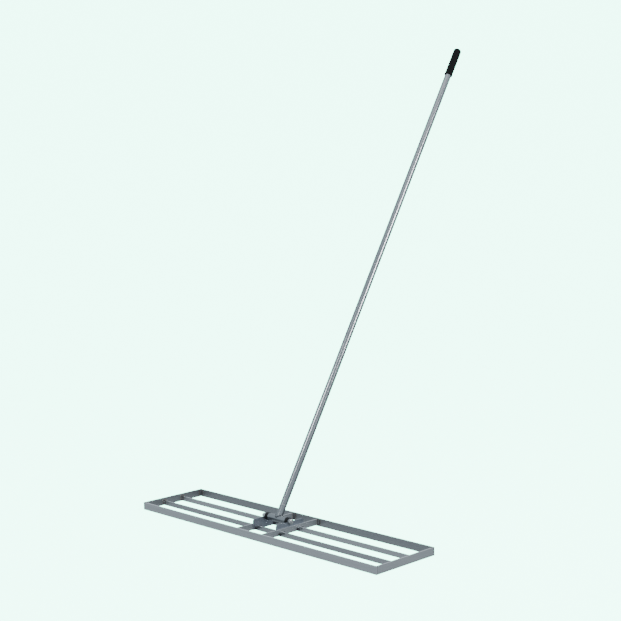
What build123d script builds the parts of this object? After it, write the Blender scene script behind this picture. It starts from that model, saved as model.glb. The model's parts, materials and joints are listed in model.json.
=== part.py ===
"""Lawn levelling rake: an open barred steel head on a tilting four-piece pole.

X runs along the head, +Y from the user's front rail to the back rail, +Z up.
The origin is the middle of the head on the ground. The pole leans back towards +Y.
All sizes are in millimetres and degrees.
"""

import os
from math import sqrt

from build123d import *

# ---- head, outer frame of flat bar on edge
HEAD_LENGTH = 1060.0
HEAD_DEPTH = 250.0
RAIL_HEIGHT = 25.0
RAIL_THICK = 4.0
END_BAR_THICK = 4.0
BAR_EDGE_RADIUS = 0.6

# ---- two long slats inside the frame
SLAT_HEIGHT = 16.0
SLAT_THICK = 4.0
SLAT_SPACING = 78.0

# ---- two cross bars, notched over the slats, which carry the pole bracket
CROSS_BAR_HEIGHT = 20.0
CROSS_BAR_THICK = 4.0
CROSS_BAR_SPACING = 112.0
NOTCH_CLEARANCE = 0.25

# ---- upright ears bolted to the inner faces of the cross bars
EAR_THICK = 3.0
EAR_LENGTH = 118.0
EAR_SHOULDER_HEIGHT = 39.0
EAR_CORNER_RADIUS = 7.0
EAR_LUG_RADIUS = 9.5
EAR_LUG_BLEND = 3.0

# ---- screws that hold an ear to its cross bar, one each side of each slat
EAR_SCREW_DIAMETER = 5.0
EAR_SCREW_OFFSET = 10.0
EAR_SCREW_HEIGHT = 9.5
EAR_SCREW_HEAD_FLATS = 8.0
EAR_SCREW_HEAD_HEIGHT = 3.5
EAR_NUT_HEIGHT = 4.0
EAR_WASHER_DIAMETER = 10.0
EAR_WASHER_THICK = 1.0
EAR_SCREW_STICK_OUT = 1.5
SCREW_HOLE_CLEARANCE = 0.15

# ---- turned corners of every hex head and nut
HEX_FACE_SHARE = 0.95
HEX_CHAMFER_SLOPE = 0.58

# ---- weld beads
WELD_RADIUS = 3.5
WELD_TOP_GAP = 1.5
WELD_FOOT_GAP = 1.0

# ---- pivot
PIVOT_HEIGHT = 39.0
PIVOT_BOLT_DIAMETER = 10.0
PIVOT_HOLE_CLEARANCE = 0.15
PIVOT_HEAD_FLATS = 16.0
PIVOT_HEAD_HEIGHT = 6.4
PIVOT_WASHER_DIAMETER = 18.0
PIVOT_WASHER_THICK = 2.0
LOCK_NUT_HEIGHT = 8.0
LOCK_RING_HEIGHT = 2.6
LOCK_RING_DIAMETER = 14.0
PIVOT_BOLT_STICK_OUT = 3.0

# ---- cross tube of the pole, of the pole's own outside diameter, and its two black bushes
PIVOT_TUBE_WALL = 2.0
PIVOT_TUBE_LENGTH = 80.0
BUSH_COLLAR_DIAMETER = 24.0
BUSH_SPIGOT_LENGTH = 15.0
BUSH_RUNNING_CLEARANCE = 0.05
BUSH_SIDE_GAP = 0.3

# ---- pole
POLE_TILT = 58.8
POLE_LENGTH = 1750.0
POLE_DIAMETER = 22.0
POLE_WALL = 1.0
POLE_SECTIONS = 4
FOOT_LENGTH = 34.0
PRESS_CLEARANCE = 0.02

# ---- screwed joints between the pole's pieces
STUD_DIAMETER = 14.0
STUD_SHANK_LENGTH = 24.0
STUD_PLUG_LENGTH = 28.0
SOCKET_LENGTH = 30.0
SOCKET_FLANGE_THICK = 2.0
THREAD_CLEARANCE = 0.1

# ---- grip and the plug under it
GRIP_LENGTH = 108.0
GRIP_WALL = 2.5
GRIP_MOUTH_FLARE = 1.0
GRIP_MOUTH_LENGTH = 4.0
GRIP_DOME_RADIUS = 9.0
GRIP_TOP_THICK = 5.0
PLUG_LENGTH = 14.0
PLUG_FLANGE_THICK = 1.6

# ---- places worked out from the sizes above
RAIL_Y = (HEAD_DEPTH - RAIL_THICK) / 2
END_BAR_X = (HEAD_LENGTH - END_BAR_THICK) / 2
END_INNER_X = HEAD_LENGTH / 2 - END_BAR_THICK
INNER_DEPTH = HEAD_DEPTH - 2 * RAIL_THICK
SLAT_Y = SLAT_SPACING / 2
CROSS_BAR_X = CROSS_BAR_SPACING / 2
CROSS_INNER_X = CROSS_BAR_X - CROSS_BAR_THICK / 2
CROSS_OUTER_X = CROSS_BAR_X + CROSS_BAR_THICK / 2
CROSS_BAR_Z = RAIL_HEIGHT - CROSS_BAR_HEIGHT
EAR_INNER_X = CROSS_INNER_X - EAR_THICK
BUSH_END_X = EAR_INNER_X - BUSH_SIDE_GAP
POLE_BORE = POLE_DIAMETER - 2 * POLE_WALL
PIVOT_TUBE_DIAMETER = POLE_DIAMETER
GRIP_DIAMETER = POLE_DIAMETER + 2 * GRIP_WALL
GRIP_MOUTH_DIAMETER = GRIP_DIAMETER + 2 * GRIP_MOUTH_FLARE
PIVOT_TUBE_BORE = PIVOT_TUBE_DIAMETER - 2 * PIVOT_TUBE_WALL
FOOT_TOP = PIVOT_TUBE_DIAMETER / 2 + FOOT_LENGTH
POLE_TIP = PIVOT_TUBE_DIAMETER / 2 + POLE_LENGTH
GRIP_MOUTH = POLE_TIP - GRIP_LENGTH
POLE_TOP = POLE_TIP - GRIP_TOP_THICK - PLUG_FLANGE_THICK
SECTION_PITCH = (POLE_TOP - FOOT_TOP) / POLE_SECTIONS
SIDES = (("left", -1), ("right", 1))


def cylinder_x(radius, start, end, y=0.0, z=0.0):
    """A round bar along X from start to end."""
    bar = Cylinder(radius, end - start, align=(Align.CENTER, Align.CENTER, Align.MIN))
    return Pos(start, y, z) * Rot(0, 90, 0) * bar


def cylinder_z(radius, start, end):
    """A round bar along the pole's own axis from start to end."""
    bar = Cylinder(radius, end - start, align=(Align.CENTER, Align.CENTER, Align.MIN))
    return Pos(0, 0, start) * bar


def hexagon_x(flats, start, end, y=0.0, z=0.0):
    """A hexagonal prism along X, its corners turned off at both ends as on a nut."""
    length = end - start
    corner_radius = flats / sqrt(3)
    prism = extrude(RegularPolygon(corner_radius, 6), length)
    blank = Cylinder(corner_radius, length, align=(Align.CENTER, Align.CENTER, Align.MIN))
    turn_off = corner_radius - flats / 2 * HEX_FACE_SHARE
    blank = chamfer(blank.edges().filter_by(GeomType.CIRCLE), turn_off * HEX_CHAMFER_SLOPE, turn_off)
    return Pos(start, y, z) * Rot(0, 90, 0) * Rot(0, 0, 30) * (prism & blank)


def flat_bar_x(length, thick, height):
    """A flat bar on edge along X, standing on z = 0, with eased long edges."""
    bar = Box(length, thick, height, align=(Align.CENTER, Align.CENTER, Align.MIN))
    return fillet(bar.edges().filter_by(Axis.X), BAR_EDGE_RADIUS)


def flat_bar_y(length, thick, height):
    """A flat bar on edge along Y, standing on z = 0, with eased long edges."""
    bar = Box(thick, length, height, align=(Align.CENTER, Align.CENTER, Align.MIN))
    return fillet(bar.edges().filter_by(Axis.Y), BAR_EDGE_RADIUS)


# ---------------------------------------------------------------- head
def rails():
    """Front and back rails, the full length of the head."""
    rail = flat_bar_x(HEAD_LENGTH, RAIL_THICK, RAIL_HEIGHT)
    return {"front_rail": Pos(0, -RAIL_Y, 0) * rail, "back_rail": Pos(0, RAIL_Y, 0) * rail}


def end_bars():
    """End bars, butted between the rails."""
    bar = flat_bar_y(INNER_DEPTH, END_BAR_THICK, RAIL_HEIGHT)
    return {f"{side}_end_bar": Pos(way * END_BAR_X, 0, 0) * bar for side, way in SIDES}


def slats():
    """Two lower slats between the end bars, level with the rails at the ground."""
    slat = flat_bar_x(2 * END_INNER_X, SLAT_THICK, SLAT_HEIGHT)
    return {"front_slat": Pos(0, -SLAT_Y, 0) * slat, "rear_slat": Pos(0, SLAT_Y, 0) * slat}


def ear_screw_places():
    """Y of every ear screw: one each side of each slat."""
    return [slat * SLAT_Y + side * EAR_SCREW_OFFSET for slat in (-1, 1) for side in (-1, 1)]


def ear_screw_holes():
    """Round cutters through both cross bars and both ears."""
    radius = EAR_SCREW_DIAMETER / 2 + SCREW_HOLE_CLEARANCE
    reach = CROSS_OUTER_X + 1
    return [cylinder_x(radius, -reach, reach, y, EAR_SCREW_HEIGHT) for y in ear_screw_places()]


def cross_bars():
    """Cross bars between the rails, raised off the ground and notched over the slats."""
    bar = Pos(0, 0, CROSS_BAR_Z) * flat_bar_y(INNER_DEPTH, CROSS_BAR_THICK, CROSS_BAR_HEIGHT)
    bar = bar - slat_notches()
    made = {}
    for side, way in SIDES:
        placed = Pos(way * CROSS_BAR_X, 0, 0) * bar
        for hole in ear_screw_holes():
            placed = placed - hole
        made[f"{side}_cross_bar"] = placed
    return made


def ear_outline():
    """Side view of an ear: a level plate with rounded top corners and a round lug at the pivot."""
    base = Rectangle(EAR_LENGTH, EAR_SHOULDER_HEIGHT - CROSS_BAR_Z)
    base = Pos(0, (EAR_SHOULDER_HEIGHT + CROSS_BAR_Z) / 2) * base
    base = fillet(base.vertices().group_by(Axis.Y)[-1], EAR_CORNER_RADIUS)
    outline = base + Pos(0, PIVOT_HEIGHT) * Circle(EAR_LUG_RADIUS)
    lug_feet = outline.vertices().filter_by(lambda foot: abs(foot.X) < EAR_LUG_RADIUS + 1)
    return fillet(lug_feet, EAR_LUG_BLEND)


def slat_notches():
    """Cutters round both slats, from the ground up to just over their tops."""
    notch = Box(
        HEAD_LENGTH,
        SLAT_THICK + 2 * NOTCH_CLEARANCE,
        SLAT_HEIGHT + NOTCH_CLEARANCE,
        align=(Align.CENTER, Align.CENTER, Align.MIN),
    )
    return [Pos(0, -SLAT_Y, 0) * notch, Pos(0, SLAT_Y, 0) * notch]


def ears():
    """Two upright plates with the pivot hole, notched over the slats."""
    plate = Plane.YZ * extrude(ear_outline(), EAR_THICK)
    plate = plate - slat_notches()
    pivot_hole = PIVOT_BOLT_DIAMETER / 2 + PIVOT_HOLE_CLEARANCE
    made = {}
    for side, way in SIDES:
        start = EAR_INNER_X if way > 0 else -CROSS_INNER_X
        placed = Pos(start, 0, 0) * plate
        placed = placed - cylinder_x(pivot_hole, -CROSS_OUTER_X, CROSS_OUTER_X, 0, PIVOT_HEIGHT)
        for hole in ear_screw_holes():
            placed = placed - hole
        made[f"{side}_ear"] = placed
    return made


def mirrored_pair(shape):
    """The same solid on the right and on the left of the head."""
    return [shape, mirror(shape, about=Plane.YZ)]


def ear_fasteners():
    """Hex screws from outside, a washer under each head, and nuts on the inside."""
    screws = []
    washers = []
    nuts = []
    radius = EAR_SCREW_DIAMETER / 2
    head_start = CROSS_OUTER_X + EAR_WASHER_THICK
    head_end = head_start + EAR_SCREW_HEAD_HEIGHT
    nut_end = EAR_INNER_X - EAR_NUT_HEIGHT
    for y in ear_screw_places():
        z = EAR_SCREW_HEIGHT
        shank = cylinder_x(radius, nut_end - EAR_SCREW_STICK_OUT, head_start, y, z)
        head = hexagon_x(EAR_SCREW_HEAD_FLATS, head_start, head_end, y, z)
        screws += mirrored_pair(shank + head)
        washer = cylinder_x(EAR_WASHER_DIAMETER / 2, CROSS_OUTER_X, head_start, y, z)
        washer = washer - cylinder_x(radius, CROSS_OUTER_X - 1, head_start + 1, y, z)
        washers += mirrored_pair(washer)
        nut = hexagon_x(EAR_SCREW_HEAD_FLATS, nut_end, EAR_INNER_X, y, z)
        nut = nut - cylinder_x(radius, nut_end - 1, EAR_INNER_X + 1, y, z)
        nuts += mirrored_pair(nut)
    return {
        "ear_screws": Compound(children=screws),
        "ear_screw_washers": Compound(children=washers),
        "ear_screw_nuts": Compound(children=nuts),
    }


def bead(height):
    """A quarter-round weld bead, standing in the corner between +X and +Y faces."""
    round_bar = Cylinder(WELD_RADIUS, height, align=(Align.CENTER, Align.CENTER, Align.MIN))
    corner = Box(WELD_RADIUS, WELD_RADIUS, height, align=(Align.MIN, Align.MIN, Align.MIN))
    return round_bar & corner


def beads_at(x, y, low, high, quarters):
    """Beads in the corners round (x, y); a quarter names the way each bead bulges."""
    turns = {(1, 1): 0, (-1, 1): 90, (-1, -1): 180, (1, -1): 270}
    return [Pos(x, y, low) * Rot(0, 0, turns[quarter]) * bead(high - low) for quarter in quarters]


def welds():
    """Beads at the slats' ends, at the cross bars' ends and in the frame's corners."""
    slat_beads = []
    cross_beads = []
    corner_beads = []
    half_slat = SLAT_THICK / 2
    half_cross = CROSS_BAR_THICK / 2
    inner_y = INNER_DEPTH / 2
    for side in (-1, 1):
        for slat in (-1, 1):
            for face in (-1, 1):
                x = side * END_INNER_X
                y = slat * SLAT_Y + face * half_slat
                slat_beads += beads_at(x, y, WELD_FOOT_GAP, SLAT_HEIGHT - WELD_TOP_GAP, [(-side, face)])
        for rail in (-1, 1):
            for face in (-1, 1):
                x = side * CROSS_BAR_X + face * half_cross
                low = CROSS_BAR_Z + WELD_FOOT_GAP
                high = RAIL_HEIGHT - WELD_TOP_GAP
                cross_beads += beads_at(x, rail * inner_y, low, high, [(face, -rail)])
            x = side * END_INNER_X
            high = RAIL_HEIGHT - WELD_TOP_GAP
            corner_beads += beads_at(x, rail * inner_y, WELD_FOOT_GAP, high, [(-side, -rail)])
    return {
        "slat_welds": Compound(children=slat_beads),
        "cross_bar_welds": Compound(children=cross_beads),
        "corner_welds": Compound(children=corner_beads),
    }


def pivot_fasteners():
    """The long bolt through both ears, its washers and its lock nut on the left."""
    radius = PIVOT_BOLT_DIAMETER / 2
    seat = CROSS_INNER_X + PIVOT_WASHER_THICK
    nut_end = -seat - LOCK_NUT_HEIGHT
    bolt_end = nut_end - LOCK_RING_HEIGHT - PIVOT_BOLT_STICK_OUT
    bolt = cylinder_x(radius, bolt_end, seat, 0, PIVOT_HEIGHT)
    bolt = bolt + hexagon_x(PIVOT_HEAD_FLATS, seat, seat + PIVOT_HEAD_HEIGHT, 0, PIVOT_HEIGHT)
    washer = cylinder_x(PIVOT_WASHER_DIAMETER / 2, CROSS_INNER_X, seat, 0, PIVOT_HEIGHT)
    washer = washer - cylinder_x(radius, CROSS_INNER_X - 1, seat + 1, 0, PIVOT_HEIGHT)
    nut = hexagon_x(PIVOT_HEAD_FLATS, nut_end, -seat, 0, PIVOT_HEIGHT)
    nut = nut - cylinder_x(radius, nut_end - 1, -seat + 1, 0, PIVOT_HEIGHT)
    ring_end = nut_end - LOCK_RING_HEIGHT
    ring = cylinder_x(LOCK_RING_DIAMETER / 2, ring_end, nut_end, 0, PIVOT_HEIGHT)
    ring = ring - cylinder_x(radius, ring_end - 1, nut_end + 1, 0, PIVOT_HEIGHT)
    return {
        "pivot_bolt": bolt,
        "pivot_washers": Compound(children=mirrored_pair(washer)),
        "pivot_lock_nut": nut,
        "lock_nut_ring": ring,
    }


# ---------------------------------------------------------------- pole, along its own +Z from the pivot
def pivot_bushes():
    """Black bushes: a spigot inside the cross tube and a thick collar out to the ear."""
    bore = PIVOT_BOLT_DIAMETER / 2 + BUSH_RUNNING_CLEARANCE
    tube_end = PIVOT_TUBE_LENGTH / 2
    spigot_radius = PIVOT_TUBE_BORE / 2 - PRESS_CLEARANCE
    spigot = cylinder_x(spigot_radius, tube_end - BUSH_SPIGOT_LENGTH, tube_end)
    collar = cylinder_x(BUSH_COLLAR_DIAMETER / 2, tube_end, BUSH_END_X)
    bush = spigot + collar - cylinder_x(bore, 0, BUSH_END_X + 1)
    return {"right_bush": bush, "left_bush": mirror(bush, about=Plane.YZ)}


def pivot_tube():
    """Cross tube that turns with the pole."""
    half = PIVOT_TUBE_LENGTH / 2
    tube = cylinder_x(PIVOT_TUBE_DIAMETER / 2, -half, half)
    return {"pivot_tube": tube - cylinder_x(PIVOT_TUBE_BORE / 2, -half - 1, half + 1)}


def pole_foot():
    """Short tube saddled and welded onto the cross tube."""
    saddle = cylinder_x(PIVOT_TUBE_DIAMETER / 2, -PIVOT_TUBE_LENGTH, PIVOT_TUBE_LENGTH)
    foot = cylinder_z(POLE_DIAMETER / 2, 0, FOOT_TOP) - cylinder_z(POLE_BORE / 2, -1, FOOT_TOP + 1)
    return {"pole_foot": (foot - saddle).solids().sort_by(Axis.Z)[-1]}


def joint_places():
    """Heights along the pole where one piece screws onto the next."""
    return [FOOT_TOP + index * SECTION_PITCH for index in range(POLE_SECTIONS)]


def pole_sections():
    """Equal lengths of thin tube, each standing on the flange of its own threaded socket."""
    made = {}
    for index, joint in enumerate(joint_places()):
        low = joint + SOCKET_FLANGE_THICK
        high = joint + SECTION_PITCH
        tube = cylinder_z(POLE_DIAMETER / 2, low, high) - cylinder_z(POLE_BORE / 2, low - 1, high + 1)
        made[f"pole_section_{index + 1}"] = tube
    return made


def pole_joints():
    """A stud in the top of each lower piece and a socket in the bottom of each section."""
    made = {}
    insert_radius = POLE_BORE / 2 - PRESS_CLEARANCE
    thread_bore = STUD_DIAMETER / 2 + THREAD_CLEARANCE
    for index, joint in enumerate(joint_places()):
        plug = cylinder_z(insert_radius, joint - STUD_PLUG_LENGTH, joint)
        shank = cylinder_z(STUD_DIAMETER / 2, joint, joint + STUD_SHANK_LENGTH)
        made[f"joint_stud_{index + 1}"] = plug + shank
        flange = cylinder_z(POLE_DIAMETER / 2, joint, joint + SOCKET_FLANGE_THICK)
        body = cylinder_z(insert_radius, joint, joint + SOCKET_LENGTH)
        bore = cylinder_z(thread_bore, joint - 1, joint + SOCKET_LENGTH + 1)
        made[f"joint_socket_{index + 1}"] = flange + body - bore
    return made


def hand_grip():
    """Moulded sleeve with a rounded closed top and a slightly flared open mouth."""
    outer = cylinder_z(GRIP_DIAMETER / 2, GRIP_MOUTH, POLE_TIP)
    outer = fillet(outer.edges().group_by(Axis.Z)[-1], GRIP_DOME_RADIUS)
    flare = Cone(
        GRIP_MOUTH_DIAMETER / 2,
        GRIP_DIAMETER / 2,
        GRIP_MOUTH_LENGTH,
        align=(Align.CENTER, Align.CENTER, Align.MIN),
    )
    bore_radius = POLE_DIAMETER / 2 + PRESS_CLEARANCE
    bore = cylinder_z(bore_radius, GRIP_MOUTH - 1, POLE_TIP - GRIP_TOP_THICK)
    return {"hand_grip": outer + Pos(0, 0, GRIP_MOUTH) * flare - bore}


def end_plug():
    """Plug that closes the top of the last section under the grip."""
    flange = cylinder_z(POLE_DIAMETER / 2, POLE_TOP, POLE_TOP + PLUG_FLANGE_THICK)
    body = cylinder_z(POLE_BORE / 2 - PRESS_CLEARANCE, POLE_TOP - PLUG_LENGTH, POLE_TOP)
    return {"end_plug": flange + body}


def foot_weld():
    """Ring of weld where the foot meets the cross tube."""
    ring_radius = POLE_DIAMETER / 2 + WELD_RADIUS / 2
    tube_radius = PIVOT_TUBE_DIAMETER / 2
    ring = cylinder_z(ring_radius, 0, tube_radius + WELD_RADIUS / 2)
    ring = ring - cylinder_z(POLE_DIAMETER / 2, -1, FOOT_TOP)
    collar = cylinder_x(tube_radius + WELD_RADIUS / 2, -PIVOT_TUBE_LENGTH, PIVOT_TUBE_LENGTH)
    tube = cylinder_x(tube_radius, -PIVOT_TUBE_LENGTH, PIVOT_TUBE_LENGTH)
    return {"foot_weld": (ring & collar) - tube}


def main():
    """Build every piece and write one STEP file for each."""
    pieces = {}
    for make in (rails, end_bars, slats, cross_bars, ears, ear_fasteners, welds, pivot_fasteners):
        pieces.update(make())
    tilted = Pos(0, 0, PIVOT_HEIGHT) * Rot(POLE_TILT - 90, 0, 0)
    for make in (
        pivot_bushes,
        pivot_tube,
        pole_foot,
        foot_weld,
        pole_sections,
        pole_joints,
        hand_grip,
        end_plug,
    ):
        for name, shape in make().items():
            pieces[name] = tilted * shape
    os.makedirs("parts", exist_ok=True)
    for name, shape in pieces.items():
        export_step(shape, f"parts/{name}.step")
    print(len(pieces), "pieces written")


main()
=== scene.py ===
# %% [markdown]
# # A lawn levelling rake
# The rake is a flat open frame of steel bars, about a metre long, with a long steel pole on a
# centre pivot. The measured parts arrive ready made, in metres, with the middle of the head on
# the ground at the origin. X runs along the head, the pole leans back over +Y and Z is up.
# This lesson gives those parts their finishes, adds the shapes that are too soft or too rough to
# draw as plain solids, which are the weld beads and the rubber grip, and then lights and frames
# the whole tool.

# %% Load the measured parts
import json
from math import asin, cos, pi, radians, sin, tau

import bmesh
import bpy
from mathutils import Matrix, Vector, noise


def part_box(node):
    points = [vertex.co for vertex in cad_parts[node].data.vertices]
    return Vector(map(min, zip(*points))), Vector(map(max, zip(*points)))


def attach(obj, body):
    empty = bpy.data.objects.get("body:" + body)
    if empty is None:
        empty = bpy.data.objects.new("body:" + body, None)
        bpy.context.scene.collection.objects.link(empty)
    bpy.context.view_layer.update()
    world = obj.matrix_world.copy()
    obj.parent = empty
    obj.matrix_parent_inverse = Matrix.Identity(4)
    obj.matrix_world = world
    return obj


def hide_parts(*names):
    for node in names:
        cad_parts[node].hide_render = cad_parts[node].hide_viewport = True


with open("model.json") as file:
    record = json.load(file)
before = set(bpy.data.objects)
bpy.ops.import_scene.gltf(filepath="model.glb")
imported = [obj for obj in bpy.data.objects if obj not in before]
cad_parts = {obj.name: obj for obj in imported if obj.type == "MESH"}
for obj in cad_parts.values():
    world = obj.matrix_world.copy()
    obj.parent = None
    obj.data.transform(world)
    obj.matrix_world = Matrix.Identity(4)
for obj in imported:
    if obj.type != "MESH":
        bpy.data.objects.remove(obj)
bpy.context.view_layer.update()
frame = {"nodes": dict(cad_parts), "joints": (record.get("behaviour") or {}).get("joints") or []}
parts = frame["nodes"]

# %% [markdown]
# ## Where things are
# Positions are read from the parts themselves, never typed in twice. The pole's own line runs
# from the pivot to the grip, so its direction is the line between the middles of two sections.
# A finish that follows the pole needs that direction too, as a turned set of axes.


# %% Places read from the parts
def middle(name):
    low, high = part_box(name)
    return (low + high) / 2


def half_size(name):
    low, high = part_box(name)
    return (high - low) / 2


pivot = Vector(frame["joints"][0]["pos_m"])
pole_way = (middle("pole_section_4") - middle("pole_section_1")).normalized()
pole_lean = asin(pole_way.y)
pole_turn = (-pole_lean, 0, 0)
from_pole = Matrix.Translation(pivot) @ Matrix.Rotation(-pole_lean, 4, "X")
rail_inner_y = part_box("back_rail")[0].y
end_inner_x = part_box("right_end_bar")[0].x
slat_y = middle("rear_slat").y
cross_x = middle("right_cross_bar").x
print("pole leans", round(pole_lean * 180 / pi, 2), "degrees, pivot at", [round(v, 4) for v in pivot])

# %% [markdown]
# ## Writing a finish as sums
# A procedural material is a sum over a few patterns: grain, smudges, worn edges. Placing every
# node by hand hides that sum, so a small class wraps one socket and lets Python's own signs build
# the Math nodes. Anything that is not a sum, such as a noise, goes through one method. The
# room that the steel mirrors is a node tree as well, so the tree and the finish are two classes.


# %% A socket that can be added and multiplied
class Wire:
    def __init__(self, finish, socket):
        self.finish = finish
        self.socket = socket

    def sum(self, operation, *others):
        settings = {"operation": operation}
        return self.finish.node("ShaderNodeMath", settings, dict(enumerate([self, *others])))

    def __add__(self, other):
        return self.sum("ADD", other)

    def __sub__(self, other):
        return self.sum("SUBTRACT", other)

    def __rsub__(self, other):
        return self.finish.node("ShaderNodeMath", {"operation": "SUBTRACT"}, {0: other, 1: self})

    def __mul__(self, other):
        return self.sum("MULTIPLY", other)

    def __pow__(self, other):
        return self.sum("POWER", other)

    def __abs__(self):
        return self.sum("ABSOLUTE")

    __radd__ = __add__
    __rmul__ = __mul__

    def most(self, other):
        return self.sum("MAXIMUM", other)

    def fade(self, start, end):
        """0 at start, 1 at end, smooth between; start may be the larger."""
        sockets = {"Value": self, "From Min": start, "From Max": end, "To Min": 0.0, "To Max": 1.0}
        return self.finish.node("ShaderNodeMapRange", {"interpolation_type": "SMOOTHSTEP"}, sockets)

    def span(self, low, high):
        """A 0 to 1 pattern stretched to run from low to high."""
        return self * (high - low) + low


# %% A node tree that is filled by calls
MIX_SHARE = 0
MIX_COLOUR_A = 6
MIX_COLOUR_B = 7
MIX_COLOUR_OUT = 2


class Tree:
    def __init__(self, owner, shader, coordinates):
        owner.use_nodes = True
        self.nodes = owner.node_tree.nodes
        self.links = owner.node_tree.links
        self.shader = self.nodes[shader]
        self.place = self.node("ShaderNodeTexCoord", {}, {}, coordinates)

    def node(self, kind, settings, sockets, out=0):
        made = self.nodes.new(kind)
        for name, value in settings.items():
            setattr(made, name, value)
        for name, value in sockets.items():
            if isinstance(value, Wire):
                self.links.new(value.socket, made.inputs[name])
            else:
                made.inputs[name].default_value = value
        return Wire(self, made.outputs[out])

    def stretched(self, scale, turn=(0, 0, 0)):
        """Object coordinates seen from axes turned about the pivot, then scaled."""
        sockets = {
            "Vector": self.place,
            "Location": pivot,
            "Rotation": turn,
            "Scale": [1 / share for share in scale],
        }
        return self.node("ShaderNodeMapping", {"vector_type": "TEXTURE"}, sockets)

    def axes(self, vector=None):
        split = self.node("ShaderNodeSeparateXYZ", {}, {"Vector": vector or self.place})
        return [Wire(self, output) for output in split.socket.node.outputs]

    def noise(self, vector, scale, detail=3.0, roughness=0.5, warp=0.0):
        sockets = {
            "Vector": vector,
            "Scale": scale,
            "Detail": detail,
            "Roughness": roughness,
            "Distortion": warp,
        }
        return self.node("ShaderNodeTexNoise", {}, sockets)

    def cells(self, vector, scale):
        return self.node("ShaderNodeTexVoronoi", {"feature": "F1"}, {"Vector": vector, "Scale": scale})

    def blend(self, share, one, two):
        """Colour one where share is 0 and colour two where it is 1."""
        one, two = (colour if isinstance(colour, Wire) else (*colour, 1.0) for colour in (one, two))
        sockets = {MIX_SHARE: share, MIX_COLOUR_A: one, MIX_COLOUR_B: two}
        return self.node("ShaderNodeMix", {"data_type": "RGBA"}, sockets, MIX_COLOUR_OUT)

    def feed(self, socket, value):
        self.links.new(value.socket, self.shader.inputs[socket])

    def bump(self, height, depth):
        """A height pattern in 0 to 1, worth depth metres."""
        bumped = self.node("ShaderNodeBump", {}, {"Height": height, "Distance": depth, "Strength": 1.0})
        self.feed("Normal", bumped)


# %% A finish, and a mask round one place
class Finish(Tree):
    def __init__(self, name, **constants):
        self.material = bpy.data.materials.new(name)
        super().__init__(self.material, "Principled BSDF", "Object")
        for socket, value in constants.items():
            self.shader.inputs[socket.replace("_", " ")].default_value = value


def near(wire, place, reach):
    """1 at a place along an axis and 0 beyond its reach."""
    return abs(wire - place).fade(reach, 0.0)


# %% [markdown]
# ## Satin flat bar
# The head is welded from flat stainless bar. The mill leaves a fine grain along each bar, and hands and
# packing leave dull patches across it. The eased edges are painted brighter than the faces, partly as
# rubbing wear and partly as a painted highlight. Welding heat colours the steel straw, then blue, for about
# a centimetre round each bead.
# A scanned texture would repeat along a metre of bar. Noise stretched along the bar never does, and because
# every bar lies along an axis, edges and welds are simple distances. The steel is the same in every bar.
# Three softboxes and a plain room light them much alike, though, so each bar also has a shade of its own,
# which stands in for the light and shadow of a fuller studio. In another light, those shades would show as
# slightly different greys.


# %% Grain, smudges, edges and heat
BAR_GREY = (0.50, 0.52, 0.535)
BAR_DULL = (0.41, 0.43, 0.445)
BAR_BRIGHT = (0.66, 0.675, 0.69)
STRAW = (0.44, 0.37, 0.26)
HEAT_BLUE = (0.20, 0.22, 0.28)
SOOT = (0.12, 0.12, 0.13)


def brushed(finish, grain_vector, broad_vector, lit_worn_edge, colours, rough):
    """The look that all satin steel parts share; the edge mask marks edges painted brighter, as rubbing
    wear and as a painted highlight.
    """
    grey, dull, bright = colours
    grain = finish.noise(grain_vector, 1.0, 6.0, 0.65)
    smudge = finish.noise(broad_vector, 9.0, 4.0, 0.6, 0.4)
    blotch = finish.noise(broad_vector, 38.0, 3.0, 0.55)
    patch = smudge.fade(0.38, 0.72)
    colour = finish.blend(patch * 0.75 + blotch * 0.25, grey, dull)
    colour = finish.blend((grain.fade(0.35, 0.75)) * 0.30, colour, bright)
    # Painted highlight, with some rubbing wear: the masked edges are blended towards the bright grey.
    colour = finish.blend(lit_worn_edge * (0.45 + 0.4 * blotch), colour, bright)
    low, high = rough
    roughness = patch.span(low, high) + (grain - 0.5) * 0.16 - lit_worn_edge * 0.08
    return colour, roughness, grain


def heat_stain(finish, colour, roughness, stain):
    """Straw, blue, then soot, as the stain rises from 0 to 1 towards the weld."""
    ripple = finish.noise(finish.place, 160.0, 2.0)
    stain = stain * (0.75 + 0.5 * ripple)
    colour = finish.blend(stain.fade(0.10, 0.42) * 0.75, colour, STRAW)
    colour = finish.blend(stain.fade(0.38, 0.62) * 0.85, colour, HEAT_BLUE)
    colour = finish.blend(stain.fade(0.62, 0.90) * 0.9, colour, SOOT)
    return colour, roughness + stain.fade(0.5, 0.9) * 0.2


def flat_bar_finish(name, along, top, welds, shade):
    """A bar on edge along X or Y, top metres high; welds gives the mask that the heat follows."""
    finish = Finish(name, Metallic=0.92)
    x, y, z = finish.axes()
    grain_scale = (5.0, 900.0, 900.0) if along == "X" else (900.0, 5.0, 900.0)
    broad_scale = (0.5, 1.5, 2.0) if along == "X" else (1.5, 0.5, 2.0)
    # The top and bottom edges of the bar are painted brighter, partly as rubbing wear and partly as a
    # painted highlight.
    low_edge = z.fade(0.0022, 0.0004)
    high_edge = z.fade(top - 0.0016, top - 0.0003)
    lit_worn_edge = low_edge.most(high_edge)
    colour, roughness, grain = brushed(
        finish,
        finish.stretched(grain_scale),
        finish.stretched(broad_scale),
        lit_worn_edge,
        [tuple(shade * level for level in grey) for grey in (BAR_GREY, BAR_DULL, BAR_BRIGHT)],
        (0.34, 0.50),
    )
    stain = welds(x, y, z)
    colour, roughness = heat_stain(finish, colour, roughness, stain)
    finish.feed("Base Color", colour)
    finish.feed("Roughness", roughness)
    finish.bump(grain, 0.00001)
    return finish.material


HEAT_REACH = 0.013
RAIL_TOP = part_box("back_rail")[1].z
SLAT_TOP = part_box("rear_slat")[1].z


def rail_heat(x, y, z):
    inner = abs(y).fade(rail_inner_y + 0.0025, rail_inner_y)
    return near(abs(x), cross_x, HEAT_REACH).most(near(abs(x), end_inner_x, HEAT_REACH)) * inner


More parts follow.
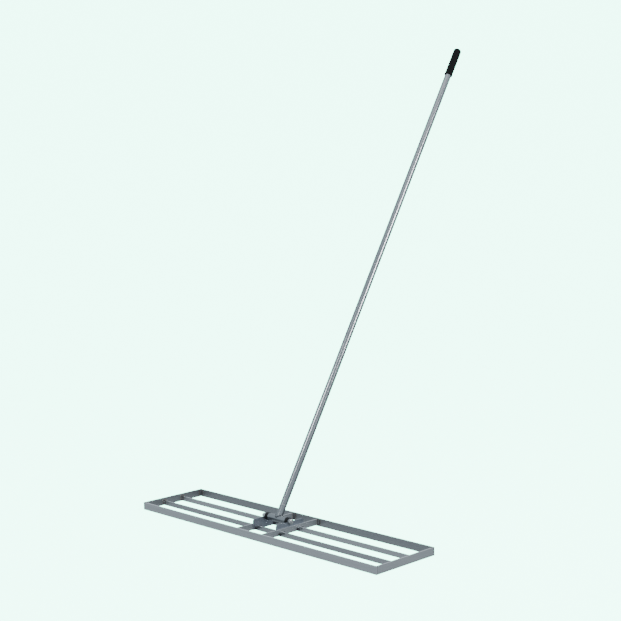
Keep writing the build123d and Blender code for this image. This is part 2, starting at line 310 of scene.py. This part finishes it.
def end_bar_heat(x, y, z):
    inner = abs(x).fade(end_inner_x + 0.0025, end_inner_x)
    low = z.fade(SLAT_TOP + 0.008, SLAT_TOP - 0.004)
    at_slats = near(abs(y), slat_y, HEAT_REACH) * low
    return at_slats.most(near(abs(y), rail_inner_y, HEAT_REACH)) * inner


def slat_heat(x, y, z):
    return near(abs(x), end_inner_x, HEAT_REACH)


def cross_bar_heat(x, y, z):
    return near(abs(y), rail_inner_y, HEAT_REACH)


BAR_FINISHES = {
    bar: flat_bar_finish(bar + "_steel", along, top, heat, shade)
    for bar, along, top, heat, shade in (
        ("front_rail", "X", RAIL_TOP, rail_heat, 1.40),
        ("back_rail", "X", RAIL_TOP, rail_heat, 0.88),
        ("left_end_bar", "Y", RAIL_TOP, end_bar_heat, 0.68),
        ("right_end_bar", "Y", RAIL_TOP, end_bar_heat, 1.15),
        ("front_slat", "X", SLAT_TOP, slat_heat, 1.15),
        ("rear_slat", "X", SLAT_TOP, slat_heat, 1.35),
        ("left_cross_bar", "Y", RAIL_TOP, cross_bar_heat, 0.98),
        ("right_cross_bar", "Y", RAIL_TOP, cross_bar_heat, 0.98),
    )
}
print("flat bar finishes:", list(BAR_FINISHES))

# %% [markdown]
# ## Ear plate
# The two ears are cut from sheet. Sheet is brushed along its length and is smoother and bluer than bar.
# Round the washer of the pivot bolt, where washer and plate meet, a dark ring is painted as shade. The ring
# is a distance from the pivot, so it needs no drawing and stays round the bolt.


# %% Plate finish
EAR_GREY = (0.34, 0.37, 0.42)
EAR_DULL = (0.29, 0.32, 0.37)
EAR_BRIGHT = (0.48, 0.50, 0.54)
EAR_HALF_LENGTH = half_size("left_ear").y
WASHER_RADIUS = 0.0096


def plate_finish():
    finish = Finish("ear_plate_steel", Metallic=0.92)
    x, y, z = finish.axes()
    # The plate's two ends are painted brighter, partly as rubbing wear and partly as a painted highlight.
    lit_worn_outer_edge = abs(y).fade(EAR_HALF_LENGTH - 0.0020, EAR_HALF_LENGTH - 0.0002)
    colour, roughness, grain = brushed(
        finish,
        finish.stretched((700.0, 9.0, 700.0)),
        finish.stretched((1.0, 1.2, 2.2)),
        lit_worn_outer_edge,
        (EAR_GREY, EAR_DULL, EAR_BRIGHT),
        (0.30, 0.42),
    )
    # Painted shade: a dark, slightly rougher ring round the rim of the pivot washer.
    up = z - pivot.z
    away = (y * y + up * up) ** 0.5
    washer_shade_ring = near(away, WASHER_RADIUS, 0.0010)
    colour = finish.blend(washer_shade_ring * 0.5, colour, (0.12, 0.13, 0.15))
    finish.feed("Base Color", colour)
    finish.feed("Roughness", roughness + washer_shade_ring * 0.12)
    finish.bump(grain, 0.00001)
    return finish.material


ear_steel = plate_finish()
print("ear finish:", ear_steel.name)

# %% [markdown]
# ## Polished tube
# The pole is thin welded tube, polished lengthwise on a belt. The lines run along the pole, so
# the coordinates are turned into the pole's own axes first. Carrying the pole leaves soft dull
# bands where hands go, and each screwed joint has a thin dark line of grime beside its flange.


# %% Tube finish
TUBE_GREY = (0.31, 0.33, 0.345)
TUBE_DULL = (0.26, 0.28, 0.295)
TUBE_BRIGHT = (0.40, 0.415, 0.43)
GRIME = (0.05, 0.05, 0.05)
GRIME_REACH = 0.0016


def tube_finish(name, turn, grain_scale, joints):
    finish = Finish(name, Metallic=0.95)
    along = finish.axes(finish.stretched((1, 1, 1), turn))[2]
    nothing = along * 0.0
    colour, roughness, grain = brushed(
        finish,
        finish.stretched(grain_scale, turn),
        finish.stretched((1.6, 1.6, 0.35), turn),
        nothing,
        (TUBE_GREY, TUBE_DULL, TUBE_BRIGHT),
        (0.19, 0.26),
    )
    grime = nothing
    for joint in joints:
        grime = grime.most(near(along, joint, GRIME_REACH))
    colour = finish.blend(grime * 0.6, colour, GRIME)
    finish.feed("Base Color", colour)
    finish.feed("Roughness", roughness + grime * 0.2)
    finish.bump(grain, 0.000003)
    return finish.material


def along_pole(point):
    return (point - pivot).dot(pole_way)


JOINTS = range(1, 5)
joint_lines = [along_pole(middle(f"joint_socket_{n}")) - half_size(f"joint_socket_{n}").x for n in JOINTS]
pole_steel = tube_finish("pole_steel", pole_turn, (700.0, 700.0, 1.5), joint_lines)
cross_tube_steel = tube_finish("cross_tube_steel", (0, 0, 0), (3.0, 700.0, 700.0), [])
print("joint lines along the pole:", [round(v, 3) for v in joint_lines])

# %% [markdown]
# ## Fasteners, bushes and grip
# Bright zinc is grainy and slightly yellow, black zinc is dark with rubbed corners, and moulded
# nylon has a fine spark texture. The grip is soft matt rubber with a pebbled skin, made by the
# same helper as the nylon because both are cast in a textured mould. All are small, so their
# patterns are finer than those of the bars.


# %% Small-part finishes
def plated_finish(name, base, worn, rough, metallic):
    finish = Finish(name, Metallic=metallic)
    grain = finish.noise(finish.place, 900.0, 4.0, 0.6)
    rub = finish.noise(finish.place, 240.0, 3.0).fade(0.52, 0.72)
    finish.feed("Base Color", finish.blend(rub * 0.6, base, worn))
    finish.feed("Roughness", grain.span(*rough))
    finish.bump(grain, 0.00004)
    return finish.material


def moulded_finish(name, base, dusty, rough, scale, depth, **constants):
    finish = Finish(name, **constants)
    pebble = finish.cells(finish.place, scale)
    dust = finish.noise(finish.place, 60.0, 4.0, 0.6).fade(0.45, 0.75)
    finish.feed("Base Color", finish.blend(dust * 0.5, base, dusty))
    finish.feed("Roughness", dust.span(*rough))
    finish.bump(pebble, depth)
    return finish.material


bright_zinc = plated_finish("bright_zinc", (0.52, 0.53, 0.53), (0.40, 0.40, 0.38), (0.24, 0.40), 1.0)
black_zinc = plated_finish("black_zinc", (0.06, 0.063, 0.07), (0.17, 0.175, 0.185), (0.34, 0.50), 0.8)
bush_nylon = moulded_finish(
    "bush_nylon",
    (0.004, 0.0045, 0.005),
    (0.010, 0.011, 0.012),
    (0.42, 0.56),
    1500.0,
    0.00003,
    Specular_IOR_Level=0.3,
)
ring_nylon = moulded_finish(
    "ring_nylon", (0.03, 0.07, 0.22), (0.06, 0.10, 0.25), (0.25, 0.40), 1500.0, 0.00002
)
grip_rubber = moulded_finish(
    "grip_rubber",
    (0.0020, 0.0024, 0.0027),
    (0.0045, 0.005, 0.0055),
    (0.50, 0.66),
    1100.0,
    0.00006,
    Specular_IOR_Level=0.12,
)
print("small finishes made")

# %% [markdown]
# ## Weld metal
# A bead cools into overlapping scales, dark with oxide between them and brighter on their crests.
# The bead at the pole's foot faces up into the light and looks too pale in those colours, so it has a
# darker pair.


# %% Weld finish
def weld_finish(name, oxide, bare):
    finish = Finish(name, Metallic=0.75)
    crust = finish.noise(finish.place, 520.0, 5.0, 0.7)
    crest = finish.noise(finish.place, 190.0, 2.0).fade(0.48, 0.70)
    colour = finish.blend(crest * 0.8, oxide, bare)
    finish.feed("Base Color", colour)
    finish.feed("Roughness", crust.span(0.42, 0.78))
    finish.bump(crust, 0.00015)
    return finish.material


weld_metal = weld_finish("weld_metal", (0.17, 0.175, 0.19), (0.42, 0.43, 0.45))
foot_weld_metal = weld_finish("foot_weld_metal", (0.07, 0.072, 0.08), (0.23, 0.235, 0.25))
print("weld finishes:", weld_metal.name, foot_weld_metal.name)

# %% [markdown]
# ## Put the finishes on the measured parts
# The measured meshes are right as they are, so only their material slots change. One table from
# finish to parts keeps the choice in sight, and the print shows that nothing was left out.

# %% Hand out the finishes
FINISHES = {
    **{finish: [bar] for bar, finish in BAR_FINISHES.items()},
    ear_steel: ["left_ear", "right_ear"],
    black_zinc: ["ear_screws", "ear_screw_nuts", "ear_screw_washers"],
    bright_zinc: ["pivot_bolt", "pivot_washers", "pivot_lock_nut"]
    + [f"joint_{kind}_{n}" for kind in ("stud", "socket") for n in JOINTS],
    ring_nylon: ["lock_nut_ring"],
    bush_nylon: ["left_bush", "right_bush", "end_plug"],
    pole_steel: ["pole_foot"] + [f"pole_section_{n}" for n in JOINTS],
    cross_tube_steel: ["pivot_tube"],
    weld_metal: ["slat_welds", "cross_bar_welds", "corner_welds"],
    foot_weld_metal: ["foot_weld"],
    grip_rubber: ["hand_grip"],
}
for finish, names in FINISHES.items():
    for name in names:
        parts[name].data.materials.clear()
        parts[name].data.materials.append(finish)
finished = {name for names in FINISHES.values() for name in names}
print("finished parts:", len(finished), "left over:", sorted(set(parts) - finished))


# %% [markdown]
# ## Helpers for new pieces
# A new piece is a bmesh turned into an object at the origin. It rides on the body that it is fixed to,
# takes the finish it is given, and hides the plain part it stands for.


# %% Make a piece
def make_piece(name, mesh_builder, body, finish, stands_for):
    mesh = bpy.data.meshes.new(name)
    bmesh.ops.recalc_face_normals(mesh_builder, faces=mesh_builder.faces)
    mesh_builder.to_mesh(mesh)
    mesh_builder.free()
    mesh.materials.append(finish)
    mesh.shade_smooth()
    piece = bpy.data.objects.new(name, mesh)
    bpy.context.scene.collection.objects.link(piece)
    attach(piece, body)
    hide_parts(*stands_for)
    print(name, "faces:", len(mesh.polygons))
    return piece


# %% [markdown]
# ## Weld beads
# A real bead is a row of overlapping puddles. It could be one swept tube with a rippled radius,
# but a row of squashed balls, melted together by a voxel remesh, gives the same scales and also
# the uneven edge where each puddle wets the steel. The lumps are nudged by a fixed noise, so the
# beads differ from each other but come out the same every time.

# %% Puddles melted into beads
PUDDLE_RADIUS = 0.0031
PUDDLE_STEP = 0.0023
BEAD_VOXEL = 0.00045


def add_puddle(bead, place, radius, squash_along, nudge):
    """A ball flattened along the bead's run."""
    wobble = noise.noise(place * 400.0)
    size = radius * (1.0 + 0.14 * wobble)
    turn = squash_along.to_track_quat("Z", "Y").to_matrix().to_4x4()
    shape = Matrix.Translation(place + nudge * wobble) @ turn @ Matrix.Diagonal((1, 1, 0.62, 1))
    bmesh.ops.create_icosphere(bead, subdivisions=2, radius=size, matrix=shape)


def melt(piece, voxel):
    """Join the puddles into one skin."""
    remesh = piece.modifiers.new("melt", "REMESH")
    remesh.mode = "VOXEL"
    remesh.voxel_size = voxel
    soften = piece.modifiers.new("soften", "SMOOTH")
    soften.factor = 0.5
    soften.iterations = 1
    depsgraph = bpy.context.evaluated_depsgraph_get()
    solid = bpy.data.meshes.new_from_object(piece.evaluated_get(depsgraph))
    piece.modifiers.clear()
    piece.data = solid
    solid.shade_smooth()
    print(piece.name, "melted to", len(solid.polygons), "faces")


def upright_beads(name, corners, low, high, stands_for):
    """Vertical beads; each corner is (x, y, way x, way y), the way pointing into the open."""
    bead = bmesh.new()
    for x, y, way_x, way_y in corners:
        out = Vector((way_x, way_y, 0)) * 0.0005
        count = round((high - low) / PUDDLE_STEP)
        for step in range(count + 1):
            z = low + (high - low) * step / count
            lean = Vector((way_x * 0.35, way_y * 0.35, 1)).normalized()
            add_puddle(bead, Vector((x, y, z)) + out, PUDDLE_RADIUS, lean, out)
    melt(make_piece(name, bead, "head", weld_metal, stands_for), BEAD_VOXEL)


# %% Beads where the bars meet
SIDES = (-1, 1)
BEAD_END = 0.0022

slat_half = half_size("rear_slat").y
cross_half = half_size("right_cross_bar").x
slat_corners = [
    (side * end_inner_x, row * slat_y + face * slat_half, -side, face)
    for side in SIDES
    for row in SIDES
    for face in SIDES
]
cross_corners = [
    (side * cross_x + face * cross_half, row * rail_inner_y, face, -row)
    for side in SIDES
    for row in SIDES
    for face in SIDES
]
frame_corners = [(side * end_inner_x, row * rail_inner_y, -side, -row) for side in SIDES for row in SIDES]
for name, corners, plain in (
    ("slat_end_beads", slat_corners, "slat_welds"),
    ("cross_bar_beads", cross_corners, "cross_bar_welds"),
    ("frame_corner_beads", frame_corners, "corner_welds"),
):
    low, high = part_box(plain)
    upright_beads(name, corners, low.z + BEAD_END, high.z - BEAD_END, [plain])

# %% [markdown]
# ## Bead round the pole's foot
# Where one round tube is saddled on another of the same size, the seam rises and falls: at an
# angle round the foot it stands at the tube's radius times the cosine. The puddles follow it.

# %% Saddle bead
SADDLE_PUDDLES = 34
SADDLE_PUDDLE_RADIUS = 0.0019
SADDLE_VOXEL = 0.0004
SADDLE_PROUD = 0.0003

tube_radius = half_size("pivot_tube").y
saddle = bmesh.new()
for step in range(SADDLE_PUDDLES):
    angle = tau * step / SADDLE_PUDDLES
    seam = Vector((cos(angle), sin(angle), abs(cos(angle)))) * (tube_radius + SADDLE_PROUD)
    run = Vector((-sin(angle), cos(angle), 0))
    turned_run = (from_pole.to_3x3() @ run).normalized()
    add_puddle(saddle, from_pole @ seam, SADDLE_PUDDLE_RADIUS, turned_run, turned_run * 0.0004)
saddle_bead = make_piece("foot_bead", saddle, "pole", foot_weld_metal, ["foot_weld"])
melt(saddle_bead, SADDLE_VOXEL)

# %% [markdown]
# ## Hand grip
# The grip is one moulding of rubber: a sleeve with a domed closed top and a rolled lip at its
# open mouth, where the bore opens out round the tube. Its section is drawn once and spun about
# the pole, which is how the mould is turned as well. A lathed outline also keeps the bore, the
# wall and the closed top in one closed skin, as the real moulding has.

# %% Spin the grip
GRIP_LIP = 0.0007
GRIP_BELL = 0.0060
DOME_RADIUS = 0.009
CLOSED_TOP = 0.005
BORE_EASE = 0.00003
GRIP_STEPS = 64
CRISP_ANGLE = radians(50)


def along_pole_reach(name):
    ways = [along_pole(vertex.co) for vertex in parts[name].data.vertices]
    return min(ways), max(ways)


grip_mouth, grip_tip = along_pole_reach("hand_grip")
grip_flare = half_size("hand_grip").x
grip_radius = grip_flare - 0.001
bore = half_size("pole_section_4").x + BORE_EASE
dome_middle = grip_radius - DOME_RADIUS
grip_outline = [(0.0, grip_tip), (dome_middle * 0.6, grip_tip - 0.0001)]
for step in range(9):
    turn = pi / 2 * (1 - step / 8)
    radius = dome_middle + DOME_RADIUS * cos(turn)
    grip_outline.append((radius, grip_tip - DOME_RADIUS * (1 - sin(turn)) - 0.0002))
grip_outline += [
    (grip_radius, grip_mouth + GRIP_BELL),
    (grip_radius + 0.0003, grip_mouth + GRIP_BELL * 0.7),
    (grip_flare - 0.0001, grip_mouth + GRIP_BELL * 0.4),
    (grip_flare, grip_mouth + GRIP_LIP * 1.5),
    (grip_flare - GRIP_LIP * 0.35, grip_mouth + GRIP_LIP * 0.4),
    (grip_flare - GRIP_LIP, grip_mouth),
    (bore + GRIP_LIP * 1.6, grip_mouth + 0.0001),
    (bore + GRIP_LIP * 0.9, grip_mouth + GRIP_LIP),
    (bore + GRIP_LIP * 0.7, grip_mouth + 0.003),
    (bore, grip_mouth + 0.008),
    (bore, grip_tip - CLOSED_TOP),
    (0.0, grip_tip - CLOSED_TOP),
]


def spin_outline(points, steps):
    """Turn an outline of (radius, height) about the Z axis."""
    turned = bmesh.new()
    corners = [turned.verts.new((radius, 0, height)) for radius, height in points]
    edges = [turned.edges.new(pair) for pair in zip(corners, corners[1:])]
    bmesh.ops.spin(
        turned, geom=corners + edges, cent=(0, 0, 0), axis=(0, 0, 1), angle=tau, steps=steps, use_merge=True
    )
    bmesh.ops.remove_doubles(turned, verts=turned.verts, dist=1e-6)
    return turned


grip_mould = spin_outline(grip_outline, GRIP_STEPS)
bmesh.ops.transform(grip_mould, matrix=from_pole, verts=grip_mould.verts)
grip = make_piece("moulded_grip", grip_mould, "pole", grip_rubber, ["hand_grip"])
grip.data.set_sharp_from_angle(angle=CRISP_ANGLE)
print("grip from", round(grip_mouth, 4), "to", round(grip_tip, 4), "m along the pole")

# %% [markdown]
# ## Studio
# The rake stands on a pale seamless sweep: a floor that curves up into a wall. It could be a strip
# behind the tool, but a bowl spun about the middle looks the same from every side. The paper
# glows a little, and it is hidden from the steel's reflections, because steel mirrors whatever
# is round it and would turn as pale as the paper.

# %% Sweep
SWEEP_FLOOR = 6.0
SWEEP_CURVE = 2.0
SWEEP_WALL = 5.0
SWEEP_STEPS = 96
PAPER_GLOW = (0.33, 1.0, 0.74, 1.0)
PAPER_GLOW_STRENGTH = 9.5

sweep_outline = [(0.0, 0.0), (SWEEP_FLOOR, 0.0)]
for step in range(1, 13):
    turn = pi / 2 * step / 12
    sweep_outline.append((SWEEP_FLOOR + SWEEP_CURVE * sin(turn), SWEEP_CURVE * (1 - cos(turn))))
sweep_outline.append((SWEEP_FLOOR + SWEEP_CURVE, SWEEP_WALL))
sweep = spin_outline(sweep_outline, SWEEP_STEPS)
bmesh.ops.recalc_face_normals(sweep, faces=sweep.faces)
bmesh.ops.reverse_faces(sweep, faces=sweep.faces)
sweep_mesh = bpy.data.meshes.new("sweep")
sweep.to_mesh(sweep_mesh)
sweep.free()
sweep_mesh.shade_smooth()
backdrop = bpy.data.objects.new("sweep", sweep_mesh)
bpy.context.scene.collection.objects.link(backdrop)
backdrop.visible_glossy = False
backdrop.visible_diffuse = False
paper = Finish("sweep_paper", Roughness=0.9)
mottle = paper.noise(paper.place, 3.0, 3.0)
paper.feed("Base Color", paper.blend(mottle, (0.78, 0.88, 0.85), (0.80, 0.90, 0.87)))
paper.shader.inputs["Emission Color"].default_value = PAPER_GLOW
paper.shader.inputs["Emission Strength"].default_value = PAPER_GLOW_STRENGTH
sweep_mesh.materials.append(paper.material)
print("sweep faces:", len(sweep_mesh.polygons))

# %% [markdown]
# ## Lights
# A tall narrow softbox to the right draws the long thin highlight down the pole. A small one in
# front lifts the bracket, and a broad one overhead softens the whole. What is left comes from a
# dim room, darker below than above, which gives flat bars a grey to mirror at every angle.

# %% Lights
ROOM_LOW = (0.35, 0.40, 0.435)
ROOM_HIGH = (0.68, 0.78, 0.85)
SOFTBOXES = (
    ("right_strip", (2.9, 0.65, 2.05), (0.0, 0.55, 1.05), 0.36, 1.4, 60.0),
    ("front_box", (0.03, -1.95, 2.30), (0.0, 0.15, 0.25), 0.5, 0.5, 14.0),
    ("overhead_box", (0.2, 0.0, 3.4), (0.0, 0.2, 0.0), 2.2, 2.2, 14.0),
)
for name, place, aim, width, depth, power in SOFTBOXES:
    light = bpy.data.lights.new(name, "AREA")
    light.shape = "RECTANGLE"
    light.size = width
    light.size_y = depth
    light.energy = power
    holder = bpy.data.objects.new(name, light)
    holder.location = place
    holder.rotation_euler = (Vector(aim) - Vector(place)).to_track_quat("-Z", "Y").to_euler()
    bpy.context.scene.collection.objects.link(holder)
    holder.visible_camera = False

world = bpy.data.worlds.new("dim_room")
bpy.context.scene.world = world
room = Tree(world, "Background", "Generated")
skyward = room.axes()[2]
room.feed("Color", room.blend(skyward.fade(-0.25, 0.30), ROOM_LOW, ROOM_HIGH))
print("softboxes:", [box[0] for box in SOFTBOXES], "room:", world.name)

# %% [markdown]
# ## Camera
# The camera stands low at the front right and looks along a long lens, so the head is seen
# nearly edge on while the pole fills the height of the frame. It is placed by its angles about
# a point half-way up the tool, which is easier to adjust than typed coordinates.

# %% Camera
CAMERA_AZIMUTH = radians(45.48)
CAMERA_ELEVATION = radians(5.685)
CAMERA_ROLL = radians(-1.034)
CAMERA_DISTANCE = 3.708
CAMERA_AIM = Vector((0.1613, 0.0, 0.7043))
CAMERA_LENS = 71.87

camera = bpy.data.cameras.new("camera")
camera.lens = CAMERA_LENS
camera.sensor_width = 36.0
viewer = bpy.data.objects.new("camera", camera)
level = cos(CAMERA_ELEVATION)
way = Vector((sin(CAMERA_AZIMUTH) * level, -cos(CAMERA_AZIMUTH) * level, sin(CAMERA_ELEVATION)))
viewer.matrix_world = (
    Matrix.Translation(CAMERA_AIM + way * CAMERA_DISTANCE)
    @ Matrix.Rotation(CAMERA_AZIMUTH, 4, "Z")
    @ Matrix.Rotation(pi / 2 - CAMERA_ELEVATION, 4, "X")
    @ Matrix.Rotation(CAMERA_ROLL, 4, "Z")
)
bpy.context.scene.collection.objects.link(viewer)
bpy.context.scene.camera = viewer
print("camera at", [round(v, 3) for v in viewer.matrix_world.translation])
